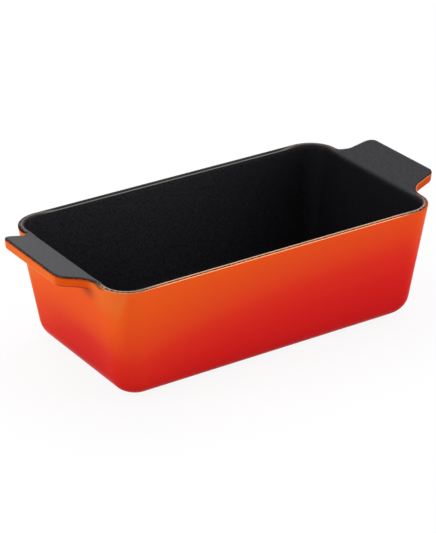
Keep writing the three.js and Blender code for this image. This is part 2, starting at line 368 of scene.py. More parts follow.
# %% [markdown]
# Next come the handle's lower edge and its face. Only the handle has this edge, so the wall of the pan keeps
# its plain draft at the same heights, and the rounding dies out at the neck by itself. The first two lines
# have the same height on the handle, so the first one's wall part is set a hair lower than the second's.

# %% The handle's lower edge and its face
ROUND_STEPS = 5
lower_edge = [(LOWER_EDGE_ROUND + EDGE_HOLD, 0.0)]
for step in range(ROUND_STEPS + 1):
    turn = math.pi / 2 * step / ROUND_STEPS
    lower_edge.append((LOWER_EDGE_ROUND * (1 - math.sin(turn)), LOWER_EDGE_ROUND * (1 - math.cos(turn))))
lower_edge.append((0.0, LOWER_EDGE_ROUND + EDGE_HOLD))
WALL_GAP = 0.1 * MM
for step, (in_by, up_by) in enumerate(lower_edge):
    height = plain_top + up_by - (WALL_GAP if step == 0 else 0)
    inset = wall_inset(height)
    level_line(height, inset, back=inset + in_by, end_back=(RIM_TOP - height) * END_DRAFT + in_by)
    if step == 0:
        pick(lambda place: place.x > HALF_LENGTH - inset + NEAR)
        bpy.ops.transform.translate(value=(0, 0, WALL_GAP))
    tilt(plain_top + up_by)
    keep_line(f"lower edge {step}")

height = RIM_TOP - EDGE_ROUND - EDGE_HOLD
level_line(height, wall_inset(height), back=wall_inset(height), end_back=(RIM_TOP - height) * END_DRAFT)
tilt(height)
keep_line("face")
print("level lines up to the handle's face:", len(lines))

# %% [markdown]
# The rim's outer edge is a small rounding that runs on round the handles. One more line, named cover, lies on
# the flat of the rim and runs round the handles close to their edge. It divides the flat, so that the lining
# can end in a slant there. At the corners of the rim the inner lines bend tighter than the outer ones, by a
# share of their inset, as in the photograph.

# %% The rim's outer edge
COVER_INSET, COVER_NECK, COVER_BACK = 2.0 * MM, 2.5 * MM, 1.4 * MM
TIGHTEN = 0.8
INNER_TIGHT = WALL * TIGHTEN
for step in range(ROUND_STEPS + 1):
    turn = math.pi / 2 * step / ROUND_STEPS
    in_by = EDGE_ROUND * (1 - math.cos(turn))
    height = RIM_TOP - EDGE_ROUND * (1 - math.sin(turn))
    inset = wall_inset(height) + in_by
    level_line(height, inset, back=inset, end_back=(RIM_TOP - height) * END_DRAFT + in_by)
    tilt(height)
    keep_line(f"upper edge {step}")
level_line(RIM_TOP, COVER_INSET, back=COVER_BACK, end_back=COVER_BACK, neck_extra=COVER_NECK,
           tight=COVER_INSET * TIGHTEN)
tilt(RIM_TOP)
keep_line("cover")
print("the cover line lies inside the rim by, in mm:", COVER_INSET / MM)

# %% [markdown]
# The inner edge is as small along the sides. At the handles, where a hand takes hold, it is half as wide
# again, and its points there are drawn out from the rim's inner corner. The cavity goes down with the same
# draft as the outside and ends in its own bottom rounding.

# %% The inner edge and the cavity
LAND_HOLD = 0.2 * MM
inner_edge = [(WALL - EDGE_ROUND - LAND_HOLD, RIM_TOP)]
for step in range(ROUND_STEPS + 1):
    turn = math.pi / 2 * step / ROUND_STEPS
    down_by = EDGE_ROUND * (1 - math.cos(turn))
    inner_edge.append((WALL - EDGE_ROUND * (1 - math.sin(turn)) + down_by * DRAFT, RIM_TOP - down_by))
for step, (inset, height) in enumerate(inner_edge):
    level_line(height, inset, tight=min(inset, WALL) * TIGHTEN, handle=False)
    tilt(height)
    necks = neck_points()
    side_y = necks[-1].y + NEAR
    wide = GRIP_ROUND / EDGE_ROUND
    pick(lambda place: place.x > HINGE_X / 2 and place.y < side_y)
    bpy.ops.transform.resize(value=(wide, 1, wide), center_override=(HINGE_X, 0, RIM_TOP))
    for column, point in enumerate(necks[:-1]):
        grow = grown(column) / grown(NECK_STEPS)
        size = 1 + (wide - 1) * grow * grow * (3 - 2 * grow)
        pick(lambda place: (place - point).length < NEAR)
        bpy.ops.transform.resize(value=(size, 1, size), center_override=(HINGE_X, 0, RIM_TOP))
    keep_line(f"inner edge {step}")

height = RIM_TOP - GRIP_ROUND - HOLD
level_line(height, WALL + wall_inset(height), tight=INNER_TIGHT, handle=False)
keep_line("inner wall")
for step, (inset, height) in reversed(list(enumerate(fillet(WALL, IRON_BOTTOM + FLOOR, INNER_BOTTOM)))):
    level_line(height, inset, tight=INNER_TIGHT, handle=False)
    keep_line(f"inner bottom {step}")
print("level lines in all:", len(lines))

# %% [markdown]
# Now the lines are joined into one object and each is bridged to the next. Bridging leaves the new strip of
# faces selected, so it gets a material slot at once, for the coat that will cover it: the colour on the
# outside, the bare ground coat on the rim, or the lining on the inside. The lining also runs over the tops of
# the handles. HANDLE_COVER says how far, in mm from the pan's middle, for each strip from the outer edge to
# the inner one. Each strip ends a little further out than the last, so the black ends in a slant.

# %% Lofting the skin
begin()
for name in lines:
    bpy.data.objects[name].select_set(True)
bpy.context.view_layer.objects.active = bpy.data.objects[lines[0]]
bpy.ops.object.join()
casting = bpy.context.object
casting.name = casting.data.name = "iron_body"
ZONES = ("outside", "rim", "lining")
for name in ZONES:
    casting.data.materials.append(bpy.data.materials.new(name))
bpy.ops.object.mode_set(mode="EDIT")


def choose(*names):
    """In edit mode, selects the points of the named lines."""
    bpy.ops.mesh.select_mode(type="VERT")
    bpy.ops.mesh.select_all(action="DESELECT")
    for name in names:
        bpy.ops.object.vertex_group_set_active(group=name)
        bpy.ops.object.vertex_group_select()


def give_zone(zone):
    """Puts the selected faces in a zone's material slot."""
    casting.active_material_index = ZONES.index(zone)
    bpy.ops.object.material_slot_assign()


COLOUR_END, LINING_START = lines.index("upper edge 2"), lines.index("inner edge 5")
HANDLE_COVER = [39.5, 40.5, 41.5, 42.8, 43.6, 44.2, 44.7, 45.2, 45.7, 46.2]
for number, (lower, upper) in enumerate(zip(lines, lines[1:])):
    choose(lower, upper)
    bpy.ops.mesh.bridge_edge_loops()
    if number < COLOUR_END:
        give_zone("outside")
    elif number >= LINING_START:
        give_zone("lining")
    else:
        give_zone("rim")
        limit = HANDLE_COVER[number - COLOUR_END] * MM
        bpy.ops.mesh.select_mode(type="FACE")
        mesh = bmesh.from_edit_mesh(casting.data)
        for face in mesh.faces:
            place = face.calc_center_median()
            face.select_set(face.select and place.x > HINGE_X - WALL and place.y < limit)
        mesh.select_flush_mode()
        give_zone("lining")
bpy.ops.object.mode_set(mode="OBJECT")
print("points and faces of the quarter:", len(casting.data.vertices), len(casting.data.polygons))

# %% [markdown]
# The pan is the same on both sides of two middle planes, so a Mirror modifier makes the other three
# quarters. The middles of the underside and of the cavity's floor are still open and get one face each. Last,
# all the faces are turned to point outwards.

# %% The whole casting
bpy.ops.object.modifier_add(type="MIRROR")
mirror = casting.modifiers[-1]
mirror.use_axis = (True, True, False)
mirror.merge_threshold = NEAR
bpy.ops.object.modifier_apply(modifier=mirror.name)
bpy.ops.object.mode_set(mode="EDIT")
for name, zone in ((lines[0], "outside"), (lines[-1], "lining")):
    choose(name)
    bpy.ops.mesh.edge_face_add()
    give_zone(zone)
bpy.ops.mesh.select_all(action="SELECT")
bpy.ops.mesh.normals_make_consistent(inside=False)
bpy.ops.object.mode_set(mode="OBJECT")
print("faces of the casting:", len(casting.data.polygons))

# %% [markdown]
# Enamel is a glass that is sprayed on and fired, one coat over another. Each coat here is a piece of its own:
# a copy of the casting's skin, cut down to its zone, lifted on to the coat below it and given its thickness.
# The Solidify modifier gives the thickness, because it keeps the coat closed and makes its cut edge too. The
# thicknesses are usual ones for enamel on iron.

# %% The coats
GROUND_COAT, COLOUR_COAT, BLACK_COAT = 0.15 * MM, 0.35 * MM, 0.3 * MM


def coat(name, zones, lift, thickness):
    """A closed coat of enamel on the casting's zones, which starts at a lift above the iron."""
    begin()
    casting.select_set(True)
    bpy.context.view_layer.objects.active = casting
    bpy.ops.object.duplicate()
    piece = bpy.context.object
    piece.name = piece.data.name = name
    bpy.ops.object.mode_set(mode="EDIT")
    bpy.ops.mesh.select_mode(type="FACE")
    bpy.ops.mesh.select_all(action="DESELECT")
    mesh = bmesh.from_edit_mesh(piece.data)
    for face in mesh.faces:
        face.select_set(ZONES[face.material_index] not in zones)
    bmesh.update_edit_mesh(piece.data)
    bpy.ops.mesh.delete(type="FACE")
    bpy.ops.mesh.select_all(action="SELECT")
    bpy.ops.transform.shrink_fatten(value=lift)
    bpy.ops.object.mode_set(mode="OBJECT")
    bpy.ops.object.modifier_add(type="SOLIDIFY")
    wall = piece.modifiers[-1]
    wall.thickness, wall.offset = thickness, 1
    wall.use_even_offset = True
    bpy.ops.object.modifier_apply(modifier=wall.name)
    print(name, "faces:", len(piece.data.polygons))
    return piece


ground_coat = coat("ground_coat", ("outside", "rim"), 0, GROUND_COAT)
flame_coat = coat("flame_coat", ("outside",), GROUND_COAT, COLOUR_COAT)
black_lining = coat("black_lining", ("lining",), 0, BLACK_COAT)

# %% [markdown]
# Fired enamel has flowed, so it has no facets and the pieces are shaded smooth. Only the cut ends of the
# coats, which stand square to the surface, are sharper than the limit and keep a crisp edge.

# %% Smooth shading
SMOOTH_BELOW = math.radians(40)
for piece in (casting, ground_coat, flame_coat, black_lining):
    begin()
    piece.select_set(True)
    bpy.context.view_layer.objects.active = piece
    bpy.ops.object.shade_smooth_by_angle(angle=SMOOTH_BELOW)
    piece.data.materials.clear()
    print(piece.name, "is smooth")

# %% [markdown]
# Materials come next. Colours are written as sRGB hex, as a colour picker shows them, and one function turns
# them linear. Another adds a node with its settings and links, and a third starts a material with the values
# that are the same all over it.


# %% Colours and nodes
def srgb(code):
    """A colour written as sRGB hex, turned linear."""
    channels = [int(code[place:place + 2], 16) / 255 for place in (0, 2, 4)]
    return [c / 12.92 if c <= 0.04045 else ((c + 0.055) / 1.055) ** 2.4 for c in channels] + [1.0]


def add(material, kind, links=(), **settings):
    """Adds a node, makes its settings and fills its sockets with values or other nodes' outputs."""
    tree = material.node_tree
    node = tree.nodes.new(kind)
    for setting, value in settings.items():
        setattr(node, setting, value)
    for socket, value in links:
        if isinstance(value, bpy.types.Node):
            value = value.outputs[0]
        if isinstance(value, bpy.types.NodeSocket):
            tree.links.new(value, node.inputs[socket])
        else:
            node.inputs[socket].default_value = value
    return node


def finish_for(piece, name, **shader):
    """A new material on a piece, with the values that are the same all over it."""
    material = bpy.data.materials.new(name)
    material.use_nodes = True
    piece.data.materials.append(material)
    surface = material.node_tree.nodes["Principled BSDF"]
    for socket, value in shader.items():
        surface.inputs[socket.replace("_", " ")].default_value = value
    return material, surface


print("a middle grey of 808080, turned linear:", round(srgb("808080")[0], 3))

# %% [markdown]
# The enamels change tone from place to place, so a few small steps are used again and again: arithmetic, a
# share that goes from nothing to all between two values, a mix of two colours, and a bump from a noise. A Mix
# node has sockets for numbers, directions and colours, so its colour sockets are named here. Patterns read
# Object coordinates, which are metres, so a pattern's scale is one over its real size.

# %% Small steps
MIX_SHARE, MIX_FIRST, MIX_SECOND, MIX_RESULT = 0, 6, 7, 2


def calculate(material, operation, first, second=0.0):
    """One step of arithmetic in a material."""
    return add(material, "ShaderNodeMath", [(0, first), (1, second)], operation=operation)


def product(material, *shares):
    """All the shares multiplied."""
    result = shares[0]
    for share in shares[1:]:
        result = calculate(material, "MULTIPLY", result, share)
    return result


def rest_of(material, share):
    """What a share leaves of one."""
    return calculate(material, "SUBTRACT", 1.0, share)


def between(material, value, start, end):
    """How far a value has gone from a start to an end, eased at both."""
    return add(material, "ShaderNodeMapRange", [("Value", value), ("From Min", start), ("From Max", end)],
               interpolation_type="SMOOTHSTEP")


def blend(material, share, first, second):
    """A mix of two colours."""
    links = [(MIX_SHARE, share), (MIX_FIRST, first), (MIX_SECOND, second)]
    return add(material, "ShaderNodeMix", links, data_type="RGBA").outputs[MIX_RESULT]


def noise_of(material, place, size, detail=2.0):
    """A noise whose lumps have a real size."""
    links = [("Vector", place), ("Scale", 1 / size), ("Detail", detail)]
    return add(material, "ShaderNodeTexNoise", links)


def bump_up(material, surface, pattern, depth):
    """Gives a surface the relief of a pattern."""
    bump = add(material, "ShaderNodeBump", [("Height", pattern), ("Distance", depth), ("Strength", 1.0)])
    material.node_tree.links.new(bump.outputs[0], surface.inputs["Normal"])


print("the scale of a pattern that is 1 mm wide:", 1 / MM)

# %% [markdown]
# All three enamels change near the rim, so they share a few measures of place. One is how far a point lies
# inside the rim's outer line, which is the distance to a rectangle with round corners. Another is how deep it
# lies below the top of the rim, or of the handle where the handle slopes up.

# %% Measures of place
HANDLE_MASK = (47.0 * MM, 41.0 * MM)


def places(material):
    """Where a point lies: its coordinates, their sizes, its inset, its depth and its share in the handle."""
    spot = add(material, "ShaderNodeTexCoord").outputs["Object"]
    size = add(material, "ShaderNodeVectorMath", [(0, spot)], operation="ABSOLUTE")
    x, y, z = add(material, "ShaderNodeSeparateXYZ", [(0, spot)]).outputs
    size_x, size_y = add(material, "ShaderNodeSeparateXYZ", [(0, size)]).outputs[:2]
    flat = add(material, "ShaderNodeVectorMath", [(0, size), (1, (1, 1, 0))], operation="MULTIPLY")
    inner = (HALF_LENGTH - RIM_CORNER, HALF_WIDTH - RIM_CORNER, 0)
    over = add(material, "ShaderNodeVectorMath", [(0, flat), (1, inner)], operation="SUBTRACT")
    outside = add(material, "ShaderNodeVectorMath", [(0, over), (1, (0, 0, 0))], operation="MAXIMUM")
    length = add(material, "ShaderNodeVectorMath", [(0, outside)], operation="LENGTH").outputs["Value"]
    over_x, over_y = add(material, "ShaderNodeSeparateXYZ", [(0, over)]).outputs[:2]
    least = calculate(material, "MINIMUM", calculate(material, "MAXIMUM", over_x, over_y), 0.0)
    inset = calculate(material, "SUBTRACT", RIM_CORNER, calculate(material, "ADD", length, least))
    in_handle = between(material, size_y, *HANDLE_MASK)
    past_hinge = calculate(material, "MAXIMUM", calculate(material, "SUBTRACT", size_x, HINGE_X), 0.0)
    lift = product(material, past_hinge, math.tan(HANDLE_SLOPE), in_handle)
    depth = calculate(material, "SUBTRACT", calculate(material, "ADD", lift, RIM_TOP), z)
    return SimpleNamespace(spot=spot, size=size, x=x, y=y, z=z, size_x=size_x, size_y=size_y,
                           inset=inset, depth=depth, in_handle=in_handle)


print("the handle's slope counts between, in mm:", [limit / MM for limit in HANDLE_MASK])

# %% [markdown]
# The outside is gloss vitreous enamel, a glass coloured with orange and red pigment. It is sprayed on and
# melted, so its surface is smooth and its colour deep. Glass has an IOR of 1.5, and gloss enamel a roughness
# of 0.1 to 0.2. The photograph's light was soft and shielded, so that hardly a reflection shows on the walls.
# The specular level is lowered far for that.
#
# Two sprays are blended wet: orange from above and red from below. The fade is a ramp over height. It isn't
# level: the orange reaches lower at one short end, most of all round its corners, and a little at the other.
# So a height is added to the point's own before the ramp reads it. For the near end it grows along the pan by
# a power, and across it by the square of the distance from a line beside the middle. The near end's wall and
# the far end each add a reach of their own.

# %% Flame enamel: how low the orange reaches
NEAR_END_REACH, NEAR_END_POWER = 21 * MM, 2.5
BEND, BEND_LINE_Y = 0.007 / MM, -20 * MM
FAR_END_REACH, FAR_END_X = 20 * MM, (92 * MM, 118 * MM)
END_WALL_REACH, END_WALL_X, END_WALL_Z = 24 * MM, (-107 * MM, -112.5 * MM), (28 * MM, 56 * MM)

flame, flame_surface = finish_for(
    flame_coat, "gloss flame enamel", Roughness=0.15, IOR=1.5, Specular_IOR_Level=0.005)
at = places(flame)
end_share = add(flame, "ShaderNodeMapRange", [
    ("Value", at.x), ("From Min", HALF_LENGTH), ("From Max", -HALF_LENGTH)])
across = calculate(flame, "SUBTRACT", at.y, BEND_LINE_Y)
bent_reach = calculate(flame, "ADD", product(flame, across, across, BEND), NEAR_END_REACH)
near_reach = product(flame, calculate(flame, "POWER", end_share, NEAR_END_POWER), bent_reach)
far_reach = product(flame, between(flame, at.x, *FAR_END_X), FAR_END_REACH)
on_end_wall = product(flame, between(flame, at.x, *END_WALL_X), between(flame, at.z, *END_WALL_Z))
wall_reach = product(flame, on_end_wall, END_WALL_REACH)
reach = calculate(flame, "ADD", calculate(flame, "ADD", near_reach, far_reach), wall_reach)
print("at the near end the orange reaches lower by at least, in mm:", NEAR_END_REACH / MM)

# %% [markdown]
# The ramp goes from the red of the base to the orange of the rim. Its stops are closest together in the
# middle, where the two sprays overlap and the colour turns fastest.

# %% Flame enamel: the fade
FADE_LOW, FADE_HIGH = 10 * MM, 125 * MM
FADE = ((0.03, "D01E1F"), (0.2, "D62420"), (0.34, "DC2F21"), (0.39, "DE3721"), (0.445, "E14021"),
        (0.55, "E44C20"), (0.61, "E6501F"), (0.7, "E9561E"), (0.83, "EC5B20"), (0.96, "EA6C2C"))
fade = add(flame, "ShaderNodeMapRange", [
    ("Value", calculate(flame, "ADD", at.z, reach)), ("From Min", FADE_LOW), ("From Max", FADE_HIGH)])
ramp = add(flame, "ShaderNodeValToRGB", [(0, fade)])
for place, code in FADE[1:-1]:
    ramp.color_ramp.elements.new(place)
for stop, (place, code) in zip(ramp.color_ramp.elements, FADE):
    stop.position, stop.color = place, srgb(code)
print("stops of the fade:", len(ramp.color_ramp.elements))

# %% [markdown]
# The handles' side faces lie in shade, so they are painted a deeper orange, and the far handle's deeper
# still: painted shade. They are found by their place: outside the end wall, in a narrow band across the pan,
# and above the handle's lower edge.

# %% Flame enamel: painted shade on the handles' sides
SIDE_X, SIDE_Y, SIDE_Y_END = (115 * MM, 119 * MM), (29 * MM, 33 * MM), (41 * MM, 37 * MM)
SIDE_DEPTH, SIDE_SHADE_SHARE = (6.4 * MM, 5.6 * MM), 0.75
NEAR_TO_FAR_X = (-50 * MM, 50 * MM)
far_half = between(flame, at.x, *NEAR_TO_FAR_X)
beside = product(flame, between(flame, at.size_x, *SIDE_X),
                 between(flame, at.size_y, *SIDE_Y), between(flame, at.size_y, *SIDE_Y_END))
# Painted shade: the handles' side faces are darkened to a deeper orange.
side = product(flame, beside, between(flame, at.depth, *SIDE_DEPTH), SIDE_SHADE_SHARE)
side_shade_colour = blend(flame, far_half, srgb("DE4E06"), srgb("C2460A"))
colour = blend(flame, side, ramp.outputs[0], side_shade_colour)
print("a handle's side face is this deep, in mm:", SIDE_DEPTH[0] / MM)

# %% [markdown]
# Along the tops of the handles the enamel draws back from the edge as it melts, so the dark ground shows
# through. On the near handle that is a soft brown band and ragged black dashes. Along the back of the pan and
# the far handle's tip it is a thin dark line. On the far handle's side that faces the camera, a pale line
# along the edge is a painted highlight.

# %% Flame enamel: the worn edge and a painted highlight
DASH_SIZE, DASH_LIMITS = 1.5 * MM, (0.42, 0.56)
WORN_Y, DASH_DEPTH = (54 * MM, 46 * MM), (0.95 * MM, 0.45 * MM)
SOFT_DEPTH, SOFT_SHARE = (2.1 * MM, 0.3 * MM), 0.75
FAR_RIM_Y, FAR_TIP_X, DARK_DEPTH = (20 * MM, 40 * MM), (133 * MM, 137 * MM), (1.1 * MM, 0.7 * MM)
SIDE_HIGHLIGHT_Y, SIDE_HIGHLIGHT_X = (-10 * MM, -30 * MM), (137 * MM, 133 * MM)
SIDE_HIGHLIGHT_DEPTH, SIDE_HIGHLIGHT_SHARE = (1.2 * MM, 0.7 * MM), 0.7
worn = product(flame, between(flame, at.size_y, *WORN_Y), rest_of(flame, far_half))
soft_edge = product(flame, between(flame, at.depth, *SOFT_DEPTH), worn, SOFT_SHARE)
colour = blend(flame, soft_edge, colour, srgb("6E2C14"))
dashes = between(flame, noise_of(flame, at.spot, DASH_SIZE), *DASH_LIMITS)
ragged = product(flame, between(flame, at.depth, *DASH_DEPTH), worn, dashes)
far_rim = calculate(flame, "MAXIMUM", between(flame, at.y, *FAR_RIM_Y), between(flame, at.x, *FAR_TIP_X))
dark_line = product(flame, between(flame, at.depth, *DARK_DEPTH), far_rim)
colour = blend(flame, calculate(flame, "MAXIMUM", ragged, dark_line), colour, srgb("221614"))
# Painted highlight: a pale line along the top of the far handle's side.
near_side = product(flame, between(flame, at.y, *SIDE_HIGHLIGHT_Y), between(flame, at.x, *SIDE_HIGHLIGHT_X))
side_highlight = product(flame, between(flame, at.depth, *SIDE_HIGHLIGHT_DEPTH), far_half, near_side, at.in_handle,
                    SIDE_HIGHLIGHT_SHARE)
colour = blend(flame, side_highlight, colour, srgb("D88C68"))
print("dashes in mm:", DASH_SIZE / MM)

# %% [markdown]
# Under the handle's side, where the cove is in shade, painted shade lies: a dark crease along the handle's
# lower edge that ends in a soft red-brown spot. The glass has the faintest orange peel. Real peel is about 1
# mm wide and 0.01 mm deep; here it is 1.6 mm and 0.02 mm, so that it can be seen at this size.

# %% Flame enamel: painted shade in the cove, and peel
COVE_SHADE_PLACE, COVE_SHADE_SIZE = (118 * MM, 31 * MM, 70.5 * MM), (10 * MM, 12 * MM, 9.5 * MM)
COVE_SHADE_EDGE, COVE_SHADE_SHARE = (1.0, 0.1), 0.6
CREASE_SHADE_START, CREASE_SHADE_END, CREASE_SHADE_SHARE = (5.4 * MM, 6.4 * MM), (8.4 * MM, 7.2 * MM), 0.75
PEEL_SIZE, PEEL_DEPTH = 1.6 * MM, 0.02 * MM
# Painted shade: a soft red-brown spot in the cove below each neck.
away = add(flame, "ShaderNodeVectorMath", [(0, at.size), (1, COVE_SHADE_PLACE)], operation="SUBTRACT")
away = add(flame, "ShaderNodeVectorMath", [(0, away), (1, COVE_SHADE_SIZE)], operation="DIVIDE")
away = add(flame, "ShaderNodeVectorMath", [(0, away)], operation="LENGTH").outputs["Value"]
cove_shade = product(flame, between(flame, away, *COVE_SHADE_EDGE), COVE_SHADE_SHARE)
colour = blend(flame, cove_shade, colour, srgb("A42A18"))
# Painted shade: a dark crease along the lower edge of the handle's side.
crease_shade = product(flame, beside, between(flame, at.depth, *CREASE_SHADE_START),
                 between(flame, at.depth, *CREASE_SHADE_END), CREASE_SHADE_SHARE)
colour = blend(flame, crease_shade, colour, srgb("781C14"))
flame.node_tree.links.new(colour, flame_surface.inputs["Base Color"])
bump_up(flame, flame_surface, noise_of(flame, at.spot, PEEL_SIZE), PEEL_DEPTH)
print("nodes of the flame enamel:", len(flame.node_tree.nodes))

# %% [markdown]
# Where the colour stops, the ground coat shows. It is a hard dark enamel that is fused on the iron first,
# rougher than the colour. Along the near rim its outer rounding carries a cream painted highlight, and the
# flat is beige, with dark dashes where it is bare. These tones go on a little way round the near corner and
# are weaker at the ends. The back rim stays grey, and the far end is the darkest.

# %% Ground enamel: where the rim's tones lie
ENDS_X, NEAR_END_X, NEAR_END_SHIFT = (84 * MM, 100 * MM), (-106 * MM, -110 * MM), 6 * MM
FRONT_Y, BACK_Y, ENDS_LOSS = (-46 * MM, -58 * MM), (0.0, 30 * MM), 0.45
FAR_END_HIGHLIGHT_X, FAR_END_HIGHLIGHT_SHARE = (84 * MM, 106 * MM), 0.8
FAR_CORNER_X, FAR_CORNER_SHARE = (104 * MM, 116 * MM), 0.6

ground, ground_surface = finish_for(
    ground_coat, "dark ground enamel", Roughness=0.4, IOR=1.5, Specular_IOR_Level=0.035)
at = places(ground)
ends = between(ground, at.size_x, *ENDS_X)
near_end = between(ground, at.x, *NEAR_END_X)
shifted_y = calculate(ground, "SUBTRACT", at.y, product(ground, near_end, NEAR_END_SHIFT))
front = between(ground, shifted_y, *FRONT_Y)
toned = product(ground, front, rest_of(ground, product(ground, ends, ENDS_LOSS)))
back_rim = product(ground, between(ground, at.y, *BACK_Y), rest_of(ground, ends))
highlight_fade = product(ground, between(ground, at.x, *FAR_END_HIGHLIGHT_X), FAR_END_HIGHLIGHT_SHARE)
far_corner = product(ground, between(ground, at.x, *FAR_CORNER_X), FAR_CORNER_SHARE)
print("the front rim is fully sprayed from y in mm:", FRONT_Y[1] / MM)

# %% [markdown]
# Four tones lie on the rim. Each is a mix of the bare ground coat's tone and of the lighter one of the near
# rim. The cream is a painted highlight, which turns brown towards the far end, and the beige is grey along
# the back and darker at the far corners.

# %% Ground enamel: the tones
# Painted highlight: the cream on the near rim's outer rounding.
cream_highlight = blend(ground, toned, srgb("161414"), srgb("FFC48E"))
cream_highlight = blend(ground, highlight_fade, cream_highlight, srgb("4A2C1C"))
tan = blend(ground, toned, srgb("181616"), srgb("A0582C"))
beige = blend(ground, toned, srgb("64605E"), srgb("C4A18C"))
beige = blend(ground, back_rim, beige, srgb("86807C"))
beige = blend(ground, far_corner, beige, srgb("4E4644"))
bare = blend(ground, toned, srgb("121010"), srgb("1E0A04"))
print("tones of the ground coat: cream, tan, beige, bare")

# %% [markdown]
# Each tone has its band, counted inwards from the rim's outer line: the cream painted highlight, tan with
# dashes, then beige. At the ends the beige starts sooner and a dark band follows it. On the back rim it
# starts later. A mist of orange lies on the near end's outer rounding. Real dashes are about 1 mm long; 1.5
# mm can still be seen. The grain of the coat is fine. It is 0.7 mm here, some three times the real size, so
# that it can be seen.

# %% Ground enamel: the bands
HIGHLIGHT_END, DASHES_END = (0.35 * MM, 0.55 * MM), (1.9 * MM, 1.5 * MM)
BEIGE_START, BEIGE_BLUR = 1.7 * MM, 0.5 * MM
SOONER_AT_ENDS, SOONER_AT_NEAR_END, LATER_AT_BACK = 0.8 * MM, 0.4 * MM, 1.5 * MM
DARK_BAND, MIST_DEPTH = (2.2 * MM, 2.8 * MM), (0.5 * MM, 0.9 * MM)
GROUND_DASH_LIMITS = (0.44, 0.54)
GRAIN_SIZE, GRAIN_DEPTH = 0.7 * MM, 0.05 * MM
start = calculate(ground, "SUBTRACT", BEIGE_START, product(ground, ends, SOONER_AT_ENDS))
start = calculate(ground, "SUBTRACT", start, product(ground, near_end, SOONER_AT_NEAR_END))
start = calculate(ground, "ADD", start, product(ground, back_rim, LATER_AT_BACK))
light = between(ground, calculate(ground, "SUBTRACT", at.inset, start), 0.0, BEIGE_BLUR)
tone = blend(ground, light, tan, beige)
dark_band = product(ground, ends, between(ground, at.inset, *DARK_BAND))
tone = blend(ground, dark_band, tone, srgb("3A302E"))
dashes = between(ground, noise_of(ground, at.spot, DASH_SIZE, detail=3.0), *GROUND_DASH_LIMITS)
dash = product(ground, dashes, between(ground, at.inset, *DASHES_END))
tone = blend(ground, dash, tone, bare)
# The cream band on the outer rounding is the painted highlight.
tone = blend(ground, between(ground, at.inset, *HIGHLIGHT_END), cream_highlight, tone)
mist = product(ground, near_end, rest_of(ground, front), between(ground, at.depth, *MIST_DEPTH))
tone = blend(ground, mist, tone, srgb("C04A1C"))
ground.node_tree.links.new(tone, ground_surface.inputs["Base Color"])
bump_up(ground, ground_surface, noise_of(ground, at.spot, GRAIN_SIZE), GRAIN_DEPTH)
print("nodes of the ground enamel:", len(ground.node_tree.nodes))

# %% [markdown]
# The lining is satin black enamel. It is fired less hot, so it keeps a fine grain that scatters the light and
# gives it a grey sheen at a low angle, which is seen on the handles. It is mottled very faintly. Inside the
# pan it is painted greyer at the near end and darker at the far end, as painted light and shade. The grain is
# 1 mm here, about three times the real size, so that the picture shows it. Along the inner edge beside a
# handle a paler line is a painted highlight. The specular level is lowered as on the other coats, because the
# white room is brighter to a gloss than the photograph's studio was.

# %% Black enamel
MOTTLE_SIZE, MOTTLE_DEPTH, MOTTLE_LIMITS = 1.0 * MM, 0.06 * MM, (0.35, 0.65)
LIT_TO_SHADED_X, INSIDE_DEPTH = (-30 * MM, 125 * MM), (1 * MM, 4 * MM)
EDGE_HIGHLIGHT_X = (HINGE_X + 2.5 * MM, HINGE_X + 0.3 * MM)
EDGE_HIGHLIGHT_DEPTH, EDGE_HIGHLIGHT_SHARE = (0.9 * MM, 0.1 * MM), 0.3
black, black_surface = finish_for(
    black_lining, "satin black enamel", Roughness=0.4, IOR=1.5, Specular_IOR_Level=0.097)
at = places(black)
grain = noise_of(black, at.spot, MOTTLE_SIZE, detail=3.0)
mottle = between(black, grain, *MOTTLE_LIMITS)
on_handle = blend(black, mottle, srgb("17171A"), srgb("28282D"))
# Painted light and shade: the inside is greyer at the near end, darker at the far end.
lit_end = blend(black, mottle, srgb("1B1B1E"), srgb("2C2C31"))
shaded_end = blend(black, mottle, srgb("0E0E10"), srgb("18181B"))
inside = blend(black, between(black, at.x, *LIT_TO_SHADED_X), lit_end, shaded_end)
satin = blend(black, between(black, at.depth, *INSIDE_DEPTH), on_handle, inside)
# Painted highlight: a paler line along the inner edge beside a handle.
painted_edge_highlight = product(black, between(black, at.size_x, *EDGE_HIGHLIGHT_X), between(black, at.depth, *EDGE_HIGHLIGHT_DEPTH), EDGE_HIGHLIGHT_SHARE)
satin = blend(black, painted_edge_highlight, satin, srgb("4A494E"))
black.node_tree.links.new(satin, black_surface.inputs["Base Color"])
bump_up(black, black_surface, grain, MOTTLE_DEPTH)
print("nodes of the black enamel:", len(black.node_tree.nodes))

# %% [markdown]
# Under the enamel the casting is grey iron with the skin of a sand mould: a metal, dull, mottled light and
# dark grey and rough from the sand. The coats cover all of it, so nothing of it is seen. Its grain is 0.8 mm
# here; moulding sand is about 0.3 mm.

# %% Grey iron
SAND_SIZE, SAND_DEPTH = 0.8 * MM, 0.1 * MM
iron, iron_surface = finish_for(casting, "grey cast iron", Roughness=0.6, Metallic=1.0)
spot = add(iron, "ShaderNodeTexCoord").outputs["Object"]
sand = noise_of(iron, spot, SAND_SIZE, detail=4.0)
iron.node_tree.links.new(blend(iron, sand, srgb("3E3E40"), srgb("5C5C5E")), iron_surface.inputs["Base Color"])
bump_up(iron, iron_surface, sand, SAND_DEPTH)
print("nodes of the grey iron:", len(iron.node_tree.nodes))

# %% [markdown]
# The camera stands where the photograph's stood. Its place was found by least squares: the outlines of the
# rim, the handles and the base in the picture were compared with the model's, and the angles, the distance,
# the shift and the lens were changed until they fell together. It looks from the left, some 26 degrees down,
# through a long lens, so the lines hardly run together.

